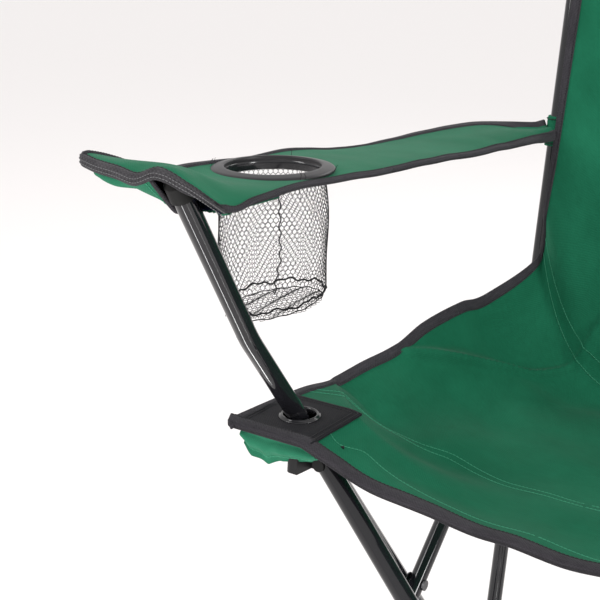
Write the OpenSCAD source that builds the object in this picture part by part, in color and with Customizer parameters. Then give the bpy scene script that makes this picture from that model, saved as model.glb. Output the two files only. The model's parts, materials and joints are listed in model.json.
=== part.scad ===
// Folding camp chair: four tube scissors, two arm tubes, two back posts and a fabric sling.
// +X is the sitter's left, -Y is the front, +Z is up. The origin is on the floor, under the middle.
// Units are millimetres.

/* [Tubes] */
// Outer diameter of every steel tube
tube_d = 16; // [14:1:18]
// Wall thickness of the steel tubes
tube_wall = 0.8; // [0.8:0.1:1.5]
// Length of a scissor tube between its end pivots
scissor_len = 505; // [470:5:540]
// Half angle of the open scissors, from the frame's upright
open_angle = 42; // [40:1:45]
// Backward tilt of the whole frame
frame_tilt = 5; // [3:1:6]
// Tube length from the front hub's pivot to the seat's grommet
hub_to_grommet = 30; // [28:1:34]
// Tube length from the grommet to the arm tube's bend
grommet_to_bend = 109; // [90:1:130]
// Angle of the bend below the armrest
bend_angle = 7; // [4:1:12]
// Tube length from the bend to the tube's tip
bend_to_tip = 152; // [130:1:170]
// Length of a back post
post_len = 828; // [780:4:860]
// How far a back post moves rearwards between its foot and its slider
post_run = 32; // [24:1:34]

/* [Fittings] */
// Diameter of the rivets that are the pivots
rivet_d = 5.8; // [5:0.2:6]
// Height of the rear foot's pivots above the floor
pivot_z = 20; // [20:1:24]
// Diameter of a foot's base
foot_d = 56; // [50:2:64]
// Bore of the rear slider, round the post
slider_bore_d = 21; // [21:0.5:22]

/* [Fabric] */
// Thickness of the plain seat, back and arm solids
cloth = 3; // [2:0.5:4]
// Width of an armrest
arm_w = 112; // [100:2:124]
// How far an armrest's middle lies outside its tube
arm_out = 30; // [24:1:36]
// Side of the seat's square corner patch
patch_w = 76; // [70:1:82]

/* [Cup holder] */
// Outer diameter of the ring's flange
ring_d = 98; // [94:1:104]
// Bore of the ring
cup_d = 76; // [70:1:78]
// Depth of the net below the armrest
net_depth = 106; // [90:2:120]

/* [Hidden] */
$fn = 64;

steel = "#1b1b1d";
plastic = "#141414";
green = "#1c6b45";
edge_black = "#232325";
zinc = "#8d8f92";

r = tube_d / 2;
tail = 9;                                   // tube past an end pivot
ply = r + 0.75;                             // a tube's offset from its scissor's middle plane
inset = 30;                                 // an end pivot's distance in from its corner
yp = scissor_len * sin(open_angle) / 2;     // end pivots at +-yp, in x and in y
corner = yp + inset;
lift = scissor_len * cos(open_angle);       // pivot height of hubs and sliders, along the frame
slot_w = tube_d + 1.2;
swing_r = sqrt(tail * tail + r * r) + 0.6;  // room for a tube's end to turn
cheek = 3.4;
block = slot_w / 2 + cheek;
end_room = 14;
hole_d = rivet_d + 0.12;
head_d = 10.4;                              // a rivet's head
head_h = 1.8;
post_tilt = atan(post_run / lift);
post_y = -2;                                // post's offset from its corner at the foot pivots
post_pin_z = 22;                            // post's rivet above the foot's pivots, along the post
bend_r = 120;
swell = 0.1;                                // the bent stretch is this much thicker, in diameter
arm_lean = open_angle - frame_tilt;         // arm tube's lean below and above its bend
top_lean = arm_lean - bend_angle;
lean = post_tilt + frame_tilt;              // a post's lean from plumb

// Points of the arm tube and post in the chair's own frame, as [y, z] from the rear side pivots
hub = scissor_len * [-sin(arm_lean), cos(arm_lean)];
grommet = hub + hub_to_grommet * [-sin(arm_lean), cos(arm_lean)];
bend = grommet + grommet_to_bend * [-sin(arm_lean), cos(arm_lean)];
tip = bend + bend_to_tip * [-sin(top_lean), cos(top_lean)];
post_foot = [(inset + post_y) * cos(frame_tilt), -(inset + post_y) * sin(frame_tilt)];
post_top = post_foot + (post_len - tail) * [sin(lean), cos(lean)];
front_reach = 18;                           // armrest in front of the tube's tip
rear_reach = 16;                            // back pocket behind the post's top
shift_y = -(tip[0] - front_reach + post_top[0] + rear_reach) / 2;

function at(p) = [shift_y + p[0], pivot_z + p[1]];
function post_at(z) = shift_y + post_foot[0] + (z - pivot_z - post_foot[1]) * tan(lean);
tube_x = corner + ply;
arm_x = tube_x + arm_out;
g = at(grommet);
t = at(tip);
seat_half = 148;                            // between the hubs and sliders
ring_y = g[0] + 6;
ring_z = g[1] + 200;                        // top of the armrest at the ring
arm_split_y = ring_y + 62;
arm_end_y = post_at(ring_z - 32) - r - 3;
fall = 0.07;                                // armrest's fall towards the back
crease = [shift_y + 14, pivot_z + 354];
seat_split = [crease[0] - 84, crease[1] + 3];

// ---------- helpers ----------
module left_right(s)
    if (s > 0) children();
    else mirror([1, 0, 0]) children();

module framed()
    translate([0, shift_y, pivot_z]) rotate([-frame_tilt, 0, 0]) translate([0, -yp, 0]) children();

module box(a, b)
    translate(a) cube(b - a);

// A rivet along X. Some have a head only at +X, because the other end is inside a fitting.
module rivet(grip, heads = [-1, 1]) {
    rotate([0, 90, 0]) cylinder(d = rivet_d, h = grip, center = true);
    for (s = heads)
        translate([s * (grip + head_h) / 2, 0, 0]) rotate([0, 90, 0])
            cylinder(d = head_d, h = head_h, center = true);
}

module drill(at_z)
    translate([0, 0, at_z]) rotate([0, 90, 0]) cylinder(d = hole_d, h = 3 * tube_d, center = true);

module washer()
    rotate([0, 90, 0]) difference() {
        cylinder(d = tube_d, h = 1.1, center = true);
        cylinder(d = rivet_d + 0.3, h = 3, center = true);
    }

// A straight tube along +Z from its lower pivot, with holes along X
module strut(len, holes)
    difference() {
        translate([0, 0, -tail]) cylinder(d = tube_d, h = len + 2 * tail);
        translate([0, 0, -tail - 1]) cylinder(d = tube_d - 2 * tube_wall, h = len + 2 * tail + 2);
        for (h = holes) drill(h);
    }

// The turn of the arm tube: starts upwards at the origin and turns towards +Y
module turn()
    translate([0, bend_r, 0]) rotate([0, 0, -90]) rotate([90, 0, 0]) difference() {
        intersection() {
            torus(tube_d + swell);
            wedge();
        }
        torus(tube_d - 2 * tube_wall - swell);
    }

module torus(d)
    rotate([0, 0, 180]) rotate_extrude() translate([bend_r, 0]) circle(d = d);

module wedge()
    translate([0, 0, -tube_d]) linear_extrude(2 * tube_d)
        polygon([[0, 0], [2 * bend_r, 0], 2 * bend_r * [cos(bend_angle), sin(bend_angle)]]);

module after_turn()
    translate([0, bend_r * (1 - cos(bend_angle)), bend_r * sin(bend_angle)])
        rotate([-bend_angle, 0, 0]) children();

// Room for a tube that turns about X at the origin: up (or down) and towards -Y
module slot(up) {
    rotate([0, 90, 0]) cylinder(r = swing_r, h = slot_w, center = true);
    if (up) box([-slot_w / 2, -70, 0], [slot_w / 2, r + 0.7, 70]);
    else box([-slot_w / 2, -70, -70], [slot_w / 2, r + 0.7, 0]);
}

// A plan outline with round corners, extruded
module slab(a, b, h, rad = 3)
    translate([a[0], a[1], 0]) linear_extrude(h) {
        w = b[0] - a[0];
        l = b[1] - a[1];
        translate([rad, 0]) square([w - 2 * rad, l]);
        translate([0, rad]) square([w, l - 2 * rad]);
        for (x = [rad, w - rad], y = [rad, l - rad]) translate([x, y]) circle(rad, $fn = 32);
    }

// ---------- corner fittings, at a left corner, with local y running rearwards ----------
// side and cross are the plies of the side tube and of the front or rear tube
module rivets_of(side, cross, fore) {
    translate([side, fore * inset, 0]) rivet(2 * block, [1]);
    cross_rivet(cross, fore);
}

module cross_rivet(cross, fore)
    translate([-inset, cross, 0]) rotate([0, 0, -90 * fore]) rivet(2 * block, [1]);

module sockets_of(side, cross, fore, up) {
    translate([side, fore * inset, 0]) {
        if (fore < 0) slot(up);
        else mirror([0, 1, 0]) slot(up);
        drill(0);
    }
    translate([-inset, cross, 0]) rotate([0, 0, -90]) {
        slot(up);
        drill(0);
    }
}

module head(side, cross, fore, z0, z1)
    translate([0, 0, z0]) {
        y0 = fore > 0 ? inset - end_room : -inset - end_room;
        slab([side - block, y0], [side + block, y0 + 2 * end_room], z1 - z0);
        slab([-inset - end_room, cross - block], [-inset + end_room, cross + block], z1 - z0);
        slab([-inset, min(cross - block, y0)], [side + block, max(cross + block, y0 + 2 * end_room)],
            z1 - z0, 8);
    }

module floor_cut()
    translate([-400, -600, -100]) cube([800, 1200, 100]);

module foot_base(y, z)
    translate([corner - 12, y, 0]) {
        cylinder(d = foot_d, h = 6);
        translate([0, 0, 6]) cylinder(d1 = foot_d, d2 = foot_d - 10, h = 5);
        if (z > 0) translate([0, 0, 11]) cylinder(d = foot_d - 14, h = z);
    }

module rear_foot(cross)
    color(plastic) difference() {
        union() {
            framed() translate([corner, corner, 0]) {
                head(ply, cross, -1, -25, 14);
                translate([0, 0, -25]) slab([-13, -18], [13, 14], 62);
            }
            foot_base(shift_y + 22, 0);
        }
        framed() translate([corner, corner, 0]) {
            sockets_of(ply, cross, -1, true);
            box([-r - 0.4, post_y - r - 1.4, -2], [r + 0.4, post_y + r + 4, 60]);
            on_post(0) drill(post_pin_z);
        }
        floor_cut();
    }

module rear_foot_rivets(cross)
    color(zinc) framed() translate([corner, corner, 0]) {
        rivets_of(ply, cross, -1);
        on_post(0) translate([0, 0, post_pin_z]) rivet(26);
    }

module front_foot(cross)
    color(plastic) difference() {
        union() {
            framed() translate([corner, -corner, 0]) head(-ply, cross, 1, -17, 14);
            foot_base(shift_y - 2 * yp - 12, 25);
        }
        framed() translate([corner, -corner, 0]) sockets_of(-ply, cross, 1, true);
        floor_cut();
    }

module front_foot_rivets(cross)
    color(zinc) framed() translate([corner, -corner, 0]) rivets_of(-ply, cross, 1);

module on_post(z)
    translate([0, post_y + post_run * z / lift, z]) rotate([-post_tilt, 0, 0]) children();

module rear_slider(cross)
    color(plastic) framed() translate([corner, corner, 0]) difference() {
        union() {
            translate([0, 0, lift]) {
                head(-ply, cross, -1, -15, 15);
                translate([0, 0, -15]) slab([6 - inset, -20], [13, 30], 30, 8);
            }
            on_post(lift) cylinder(d = slider_bore_d + 8, h = 46, center = true);
        }
        translate([0, 0, lift]) sockets_of(-ply, cross, -1, false);
        on_post(lift) cylinder(d = slider_bore_d, h = 120, center = true);
    }

module rear_slider_rivets(cross)
    color(zinc) framed() translate([corner, corner, lift]) rivets_of(-ply, cross, -1);

// The front tube lies on the hub's face, without a cheek in front of it
module front_hub(cross)
    color(plastic) framed() translate([corner, -corner, lift]) difference() {
        translate([0, 0, -12]) {
            slab([-inset - 11, cross - block], [-inset + 11, cross + block], 25);
            slab([-inset, cross - block], [0.2, inset + 13], 25, 6);
        }
        translate([ply, inset, 0]) drill(0);
        translate([-inset, cross, 0]) {
            rotate([0, 0, -90]) drill(0);
            box([-end_room - 4, -block - 1, -20], [end_room + 4, r + 0.5, 20]);
        }
        translate([-60, inset, 0]) rotate([0, 90, 0]) cylinder(d = 12, h = 60 - 14);
    }

module front_hub_rivets(cross)
    color(zinc) framed() translate([corner, -corner, lift]) {
        translate([(ply + r - 14) / 2, inset, 0]) rivet(ply + r + 14.2);
        translate([-inset, cross + (block - r) / 2, 0]) rotate([0, 0, -90]) rivet(r + block + 0.2, [1]);
    }

// ---------- tubes ----------
half = scissor_len / 2;

module side_strut()
    color(steel) framed() translate([corner - ply, -yp, 0]) rotate([-open_angle, 0, 0])
        strut(scissor_len, [0, half, scissor_len]);

module cross_tube(y, way)
    color(steel) framed() translate([way * yp, y, 0]) rotate([0, -way * open_angle, 0])
        rotate([0, 0, 90]) strut(scissor_len, [0, half, scissor_len]);

module side_cross_rivet()
    color(zinc) framed() translate([corner, 0, lift / 2]) {
        rivet(2 * (ply + r) + 0.4);
        washer();
    }

module end_cross_rivet(y)
    color(zinc) framed() translate([0, y, lift / 2]) rotate([0, 0, 90]) {
        rivet(2 * (ply + r) + 0.4);
        washer();
    }

straight = scissor_len + hub_to_grommet + grommet_to_bend - bend_r * tan(bend_angle / 2);
straight_top = bend_to_tip - bend_r * tan(bend_angle / 2);

module pipe(len)
    difference() {
        cylinder(d = tube_d, h = len);
        translate([0, 0, -1]) cylinder(d = tube_d - 2 * tube_wall, h = len + 2);
    }

module arm_tube()
    color(steel) framed() translate([tube_x, yp, 0]) rotate([open_angle, 0, 0]) {
        difference() {
            translate([0, 0, -tail]) pipe(straight + tail);
            for (h = [0, half, scissor_len]) drill(h);
        }
        translate([0, 0, straight]) {
            turn();
            after_turn() pipe(straight_top);
        }
    }

module cap(d)
    difference() {
        union() {
            translate([0, 0, -12]) cylinder(d = d + 3, h = 13);
            translate([0, 0, 1]) cylinder(d1 = d + 3, d2 = d - 3, h = 5);
        }
        translate([0, 0, -13]) cylinder(d = d + 0.2, h = 13.1);
    }

module arm_tube_cap()
    color(plastic) translate([tube_x, t[0], t[1]]) rotate([top_lean, 0, 0]) cap(tube_d);

module back_post()
    color(steel) framed() translate([corner, corner, 0]) on_post(0) difference() {
        translate([0, 0, -1]) cylinder(d = tube_d, h = post_len);
        translate([0, 0, -2]) cylinder(d = tube_d - 2 * tube_wall, h = post_len + 2);
        drill(post_pin_z);
    }

module post_cap()
    color(plastic) framed() translate([corner, corner, 0]) on_post(0)
        translate([0, 0, post_len - 1]) cap(tube_d);

// ---------- plain solids of the fabric ----------
// A strip that follows points [y, z], from x0 to x1, and is thick towards "under"
module strip(points, x0, x1, under = [0, -cloth])
    translate([x0, 0, 0]) rotate([90, 0, 90]) linear_extrude(x1 - x0)
        polygon(concat(points, [for (i = [len(points) - 1:-1:0]) points[i] + under]));

arm_front_line = [[t[0] - front_reach, t[1] + 13.5], [t[0] + 28, t[1] + 14], [ring_y - 66, ring_z + 2],
    [ring_y - 50, ring_z], [arm_split_y - 0.2, ring_z]];

module arm_front(hole)
    color(green) difference() {
        strip(arm_front_line, arm_x - arm_w / 2, arm_x + arm_w / 2);
        if (hole) translate([arm_x, ring_y, ring_z - 20]) cylinder(d = cup_d + 6, h = 40);
    }

module arm_rear()
    color(green) strip([[arm_split_y + 0.2, ring_z], [arm_end_y - 150, ring_z - fall * 194],
        [arm_end_y, ring_z - fall * 194 - 18]], corner - 12, arm_x + arm_w / 2 - 10);

// The pocket that the arm tube's tip sits in
module arm_pocket()
    color(edge_black) difference() {
        box([tube_x - 17, t[0] - 15, t[1] - 24], [tube_x + 44, t[0] + 26, t[1] + 10.2]);
        box([tube_x - 15, t[0] - 18, t[1] - 30], [tube_x + 41, t[0] + 23, t[1] + 9.2]);
    }

module back_panel()
    color(green) intersection() {
        strip([crease + [0.5, 0], [crease[0] + 42, crease[1] + 60], [post_at(590) - 14, 590],
            [post_at(830) - 6, 830]], -corner, corner, [cloth, 0]);
        translate([0, 400, 0]) rotate([90, 0, 0]) linear_extrude(800)
            polygon([[-seat_half, 300], [seat_half, 300], [seat_half, 424], [corner - 15, 440],
                [corner - 15, 900], [15 - corner, 900], [15 - corner, 440], [-seat_half, 424]]);
    }

module back_pocket()
    color(green) framed() translate([corner, corner, 0]) on_post(post_len) difference() {
        translate([0, 0, -70]) slab([-14.5, -14], [16, 14], 80, 8);
        translate([0, 0, -71]) slab([-12.5, -12], [14, 12], 79, 6);
    }

module side_wing()
    color(green) translate([corner - 22, 0, 0]) rotate([90, 0, 90]) linear_extrude(cloth)
        polygon([[g[0] + 34, g[1] - 2], [g[0] + 190, g[1] + 2], [g[0] + 284, g[1] + 22],
            [post_at(492) - 40, 492], [crease[0] + 36, crease[1] + 62], [crease[0], crease[1] + 54],
            [crease[0] - 80, crease[1] + 26], [g[0] + 120, g[1] - 44], [g[0] + 34, g[1] - 10]]);

module seat_front_panel()
    color(green) strip([[g[0] - 18, g[1] - 2], [g[0] + 60, g[1] - 26], [g[0] + 150, g[1] - 62],
        seat_split - [0.3, 0]], -seat_half, seat_half);

module seat_rear_panel()
    color(green) strip([seat_split + [0.3, 0], crease], -seat_half, seat_half);

module seat_patch()
    color(edge_black) translate([tube_x, g[0], g[1] - 1.2]) difference() {
        slab([-patch_w / 2, -patch_w / 2], [patch_w / 2, patch_w / 2], 2.4, 6);
        translate([0, 0, -1]) cylinder(r = r + 6.6, h = 5);
    }

module seat_grommet()
    color(plastic) translate([tube_x, g[0], g[1] + 1.3]) difference() {
        union() {
            cylinder(r = r + 9.4, h = 1.2);
            translate([0, 0, 1.2]) cylinder(r1 = r + 8.4, r2 = r + 6.8, h = 1.4);
            translate([0, 0, -3]) cylinder(r = r + 6.2, h = 4);
        }
        translate([0, 0, -4]) cylinder(r = r + 5.4, h = 12);
    }

// Webbing that ties the sling's rear corner to the slider
module seat_tie()
    color(edge_black) framed() translate([corner, corner, lift]) {
        box([-inset - end_room - 2.2, -42, -34], [-inset - end_room - 0.2, -20, 14]);
        box([-inset - end_room - 2.2, -42, -36], [-inset - end_room + 20, -20, -34]);
    }

module cup_ring()
    color(plastic) translate([-arm_x, ring_y, ring_z]) difference() {
        union() {
            translate([0, 0, 0.3]) cylinder(d = ring_d, h = 1.6);
            translate([0, 0, 1.9]) cylinder(d1 = ring_d, d2 = ring_d - 8, h = 2);
            translate([0, 0, -12]) cylinder(d = cup_d + 5, h = 14);
        }
        translate([0, 0, -13]) cylinder(d = cup_d, h = 20);
    }

module cup_ring_clamp()
    color(plastic) translate([-arm_x, ring_y, ring_z - cloth - 3]) difference() {
        cylinder(d = ring_d - 4, h = 2.5);
        translate([0, 0, -1]) cylinder(d = cup_d + 6, h = 5);
    }

module net_pouch()
    color(edge_black) translate([-arm_x, ring_y, ring_z - cloth - 3.3]) difference() {
        translate([0, 0, -net_depth]) cylinder(d1 = cup_d + 6, d2 = cup_d + 10, h = net_depth);
        translate([0, 0, 1.6 - net_depth]) cylinder(d1 = cup_d + 3, d2 = cup_d + 7, h = net_depth);
    }

module net_hem()
    color(edge_black) translate([-arm_x, ring_y, ring_z - cloth - 3.3 - net_depth + 3.6])
        rotate_extrude() translate([cup_d / 2 - 1.5, 0]) circle(1.6, $fn = 24);

left_right(1) rear_foot(ply);  // rear_foot_left
left_right(-1) rear_foot(-ply);  // rear_foot_right
left_right(1) front_foot(-ply);  // front_foot_left
left_right(-1) front_foot(ply);  // front_foot_right
left_right(1) rear_foot_rivets(ply);  // rear_foot_left_rivets
left_right(-1) rear_foot_rivets(-ply);  // rear_foot_right_rivets
left_right(1) front_foot_rivets(-ply);  // front_foot_left_rivets
left_right(-1) front_foot_rivets(ply);  // front_foot_right_rivets
cross_tube(corner + ply, 1);  // rear_tube_a
cross_tube(corner - ply, -1);  // rear_tube_b
end_cross_rivet(corner);  // rear_cross_rivet
cross_tube(-corner - ply, 1);  // front_tube_a
cross_tube(-corner + ply, -1);  // front_tube_b
end_cross_rivet(-corner);  // front_cross_rivet
left_right(1) arm_tube();  // arm_tube_left
left_right(-1) arm_tube();  // arm_tube_right
left_right(1) side_strut();  // side_strut_left
left_right(-1) side_strut();  // side_strut_right
left_right(1) side_cross_rivet();  // left_cross_rivet
left_right(-1) side_cross_rivet();  // right_cross_rivet
left_right(1) rear_slider(-ply);  // rear_slider_left
left_right(-1) rear_slider(ply);  // rear_slider_right
left_right(1) rear_slider_rivets(-ply);  // rear_slider_left_rivets
left_right(-1) rear_slider_rivets(ply);  // rear_slider_right_rivets
left_right(1) front_hub(ply);  // front_hub_left
left_right(-1) front_hub(-ply);  // front_hub_right
left_right(1) front_hub_rivets(ply);  // front_hub_left_rivets
left_right(-1) front_hub_rivets(-ply);  // front_hub_right_rivets
left_right(1) back_post();  // back_post_left
left_right(-1) back_post();  // back_post_right
left_right(1) post_cap();  // post_cap_left
left_right(-1) post_cap();  // post_cap_right
left_right(1) arm_tube_cap();  // arm_tube_cap_left
left_right(-1) arm_tube_cap();  // arm_tube_cap_right
back_panel();
left_right(1) back_pocket();  // back_pocket_left
left_right(-1) back_pocket();  // back_pocket_right
left_right(1) side_wing();  // side_wing_left
left_right(-1) side_wing();  // side_wing_right
seat_front_panel();
seat_rear_panel();
left_right(1) seat_patch();  // seat_patch_left
left_right(-1) seat_patch();  // seat_patch_right
left_right(1) seat_grommet();  // seat_grommet_left
left_right(-1) seat_grommet();  // seat_grommet_right
left_right(1) seat_tie();  // seat_tie_left
left_right(-1) seat_tie();  // seat_tie_right
left_right(1) arm_front(false);  // arm_left_front
left_right(1) arm_rear();  // arm_left_rear
left_right(-1) arm_front(true);  // arm_right_front
left_right(-1) arm_rear();  // arm_right_rear
left_right(1) arm_pocket();  // arm_pocket_left
left_right(-1) arm_pocket();  // arm_pocket_right
cup_ring();
cup_ring_clamp();
net_pouch();
net_hem();
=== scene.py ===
"""A folding camp chair: bent black tubes, a green canvas sling, banded armrests and a net cup holder."""
import json
import math

import bpy
import numpy as np
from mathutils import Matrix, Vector, noise


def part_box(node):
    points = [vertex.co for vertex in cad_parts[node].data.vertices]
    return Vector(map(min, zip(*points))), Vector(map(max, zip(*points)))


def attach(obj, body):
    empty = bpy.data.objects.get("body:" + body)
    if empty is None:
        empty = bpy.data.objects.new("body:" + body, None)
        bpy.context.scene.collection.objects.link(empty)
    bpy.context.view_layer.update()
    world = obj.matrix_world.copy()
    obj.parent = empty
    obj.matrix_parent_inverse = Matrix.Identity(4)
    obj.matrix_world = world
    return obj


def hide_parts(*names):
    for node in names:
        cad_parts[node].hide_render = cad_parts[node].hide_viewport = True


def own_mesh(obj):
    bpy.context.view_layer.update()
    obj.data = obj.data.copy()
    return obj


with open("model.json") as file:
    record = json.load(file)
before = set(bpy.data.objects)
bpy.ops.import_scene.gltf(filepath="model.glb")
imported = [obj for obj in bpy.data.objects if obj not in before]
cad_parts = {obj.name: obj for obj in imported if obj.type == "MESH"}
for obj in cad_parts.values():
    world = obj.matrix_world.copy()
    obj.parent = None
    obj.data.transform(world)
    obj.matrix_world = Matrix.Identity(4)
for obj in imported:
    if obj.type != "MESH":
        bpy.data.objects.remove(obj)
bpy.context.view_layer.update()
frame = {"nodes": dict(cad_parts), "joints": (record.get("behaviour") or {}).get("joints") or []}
MM = 0.001
RING_TOP = 3.9 * MM  # the ring's top above the armrest
GROMMET_HOLE = 15.2 * MM
RING_HOLE = 45 * MM
ARM_JOIN = 62 * MM  # where the armrest's two parts meet, behind the ring
ARM_LEAN = math.radians(37)  # the arm tube's lean at the seat
TOP_LEAN = math.radians(30)  # and at its tip

# ---------- places, all from the frame
joints = {j["name"]: j for j in frame["joints"]}


def pivot(name):
    return np.array(joints[name]["pos_m"])


def corners(node):
    low, high = (np.array(c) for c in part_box(node))
    return low, high


def middle(node):
    low, high = corners(node)
    return (low + high) / 2


grommet = middle("seat_grommet_right")
tube_x = -grommet[0]
tip = pivot("arm_right_hinge")
ring_low, ring_high = corners("cup_ring")
ring_at = np.array(
    [(ring_low[0] + ring_high[0]) / 2, (ring_low[1] + ring_high[1]) / 2, ring_high[2] - RING_TOP]
)
crease = pivot("seat_crease")
post_low, post_high = corners("back_post_right")
post_foot_y = post_low[1] + 8 * MM
post_top_y = post_high[1] - 8 * MM
post_x = -(post_low[0] + post_high[0]) / 2
patch_z = middle("seat_patch_right")[2] + 1.2 * MM


def post_y(z):
    """Where a back post's axis is at a height."""
    share = (z - post_low[2]) / (post_high[2] - post_low[2])
    return post_foot_y + share * (post_top_y - post_foot_y)


def smooth(a, b, x):
    t = np.clip((x - a) / (b - a), 0, 1)
    return t * t * (3 - 2 * t)


def along(points, t):
    """A point at share t of a smooth curve through points, by their own parameter in the first column."""
    keys = [p[0] for p in points]
    rows = np.array([p[1:] for p in points], float)
    i = int(np.clip(np.searchsorted(keys, t) - 1, 0, len(keys) - 2))
    h = keys[i + 1] - keys[i]
    s = np.clip((t - keys[i]) / h, 0, 1)

    def slope(k):
        if k == 0:
            return (rows[1] - rows[0]) / (keys[1] - keys[0])
        if k == len(keys) - 1:
            return (rows[-1] - rows[-2]) / (keys[-1] - keys[-2])
        return (rows[k + 1] - rows[k - 1]) / (keys[k + 1] - keys[k - 1])

    a, b = slope(i) * h, slope(i + 1) * h
    return (
        (2 * s**3 - 3 * s**2 + 1) * rows[i]
        + (s**3 - 2 * s**2 + s) * a
        + (-2 * s**3 + 3 * s**2) * rows[i + 1]
        + (s**3 - s**2) * b
    )


def between(keys, x):
    """The value at x on straight lines through keys of (x, value)."""
    return np.interp(x, [k[0] for k in keys], [k[1] for k in keys])


def ripple(p, size, seed):
    """Smooth noise, from about -1 to 1, at a size in metres."""
    return noise.noise(Vector((p[0] / size + seed, p[1] / size - seed, p[2] / size + 2 * seed)))


# ---------- materials
def new_material(name):
    m = bpy.data.materials.new(name)
    m.use_nodes = True
    n = m.node_tree.nodes
    return m, n, m.node_tree.links, n["Principled BSDF"]


def node(nodes, kind, **values):
    made = nodes.new(kind)
    for k, v in values.items():
        if k in made.inputs.keys():
            made.inputs[k].default_value = v
        else:
            setattr(made, k, v)
    return made


def weave_height(n, l, thread, coords):
    """Two sets of threads that pass over and under each other, from coordinates in metres."""
    parts = n.new("ShaderNodeSeparateXYZ")
    l.new(coords, parts.inputs[0])
    waves = []
    for axis in ("X", "Y"):
        scaled = node(n, "ShaderNodeMath", operation="MULTIPLY")
        scaled.inputs[1].default_value = math.pi / thread
        l.new(parts.outputs[axis], scaled.inputs[0])
        wave = node(n, "ShaderNodeMath", operation="SINE")
        l.new(scaled.outputs[0], wave.inputs[0])
        waves.append(wave)
    cross = node(n, "ShaderNodeMath", operation="MULTIPLY")
    l.new(waves[0].outputs[0], cross.inputs[0])
    l.new(waves[1].outputs[0], cross.inputs[1])
    return cross.outputs[0]


def cloth(name, dark, light, thread=1.1 * MM, rough=0.75, bump=0.35, streak=0.3):
    """Woven cloth: threads from the piece's own lengths, with blotches and streaks between two colours."""
    m, n, l, shader = new_material(name)
    coords = n.new("ShaderNodeUVMap")
    height = weave_height(n, l, thread, coords.outputs[0])
    blotch = node(n, "ShaderNodeTexNoise", Scale=9.0, Detail=5.0, Roughness=0.6)
    l.new(coords.outputs[0], blotch.inputs["Vector"])
    yarn = node(n, "ShaderNodeTexNoise", Scale=700.0, Detail=2.0)
    stretch = node(n, "ShaderNodeMapping")
    stretch.inputs["Scale"].default_value = (1.0, 0.12, 1.0)
    l.new(coords.outputs[0], stretch.inputs["Vector"])
    l.new(stretch.outputs[0], yarn.inputs["Vector"])
    mixed = node(n, "ShaderNodeMath", operation="MULTIPLY_ADD")
    mixed.inputs[1].default_value = streak
    l.new(yarn.outputs["Fac"], mixed.inputs[0])
    l.new(blotch.outputs["Fac"], mixed.inputs[2])
    weft = node(n, "ShaderNodeMath", operation="MULTIPLY_ADD")
    weft.inputs[1].default_value = 0.10
    l.new(height, weft.inputs[0])
    l.new(mixed.outputs[0], weft.inputs[2])
    ramp = n.new("ShaderNodeValToRGB")
    ramp.color_ramp.elements[0].position = 0.35
    ramp.color_ramp.elements[1].position = 0.95
    ramp.color_ramp.elements[0].color = (*dark, 1)
    ramp.color_ramp.elements[1].color = (*light, 1)
    l.new(weft.outputs[0], ramp.inputs[0])
    l.new(ramp.outputs[0], shader.inputs["Base Color"])
    relief = node(n, "ShaderNodeBump", Strength=bump, Distance=0.25 * MM)
    l.new(height, relief.inputs["Height"])
    grain = node(n, "ShaderNodeBump", Strength=0.15, Distance=0.6 * MM)
    l.new(blotch.outputs["Fac"], grain.inputs["Height"])
    l.new(relief.outputs[0], grain.inputs["Normal"])
    l.new(grain.outputs[0], shader.inputs["Normal"])
    shader.inputs["Roughness"].default_value = rough
    shader.inputs["Sheen Weight"].default_value = 0.05
    shader.inputs["Sheen Roughness"].default_value = 0.4
    shader.inputs["Specular IOR Level"].default_value = 0.08
    return m


def moulded(name, colour, rough, grain, coat=0.0, size=2200.0, soften=0.6 * MM, shine=0.25):
    """Moulded plastic or painted steel: object-space grain, and edges that catch light."""
    m, n, l, shader = new_material(name)
    coords = n.new("ShaderNodeTexCoord")
    fine = node(n, "ShaderNodeTexNoise", Scale=size, Detail=3.0)
    l.new(coords.outputs["Object"], fine.inputs["Vector"])
    cloud = node(n, "ShaderNodeTexNoise", Scale=40.0, Detail=4.0)
    l.new(coords.outputs["Object"], cloud.inputs["Vector"])
    ramp = n.new("ShaderNodeValToRGB")
    ramp.color_ramp.elements[0].color = (*(c * 0.75 for c in colour), 1)
    ramp.color_ramp.elements[1].color = (*(c * 1.35 for c in colour), 1)
    l.new(cloud.outputs["Fac"], ramp.inputs[0])
    l.new(ramp.outputs[0], shader.inputs["Base Color"])
    spread = node(n, "ShaderNodeMapRange")
    spread.inputs["To Min"].default_value = rough * 0.8
    spread.inputs["To Max"].default_value = rough * 1.25
    l.new(cloud.outputs["Fac"], spread.inputs["Value"])
    l.new(spread.outputs[0], shader.inputs["Roughness"])
    round_edge = node(n, "ShaderNodeBevel", samples=4, Radius=soften)
    relief = node(n, "ShaderNodeBump", Strength=grain, Distance=0.05 * MM)
    l.new(fine.outputs["Fac"], relief.inputs["Height"])
    l.new(round_edge.outputs[0], relief.inputs["Normal"])
    l.new(relief.outputs[0], shader.inputs["Normal"])
    shader.inputs["Coat Weight"].default_value = coat
    shader.inputs["Specular IOR Level"].default_value = shine
    shader.inputs["Coat Roughness"].default_value = 0.05
    return m


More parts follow.
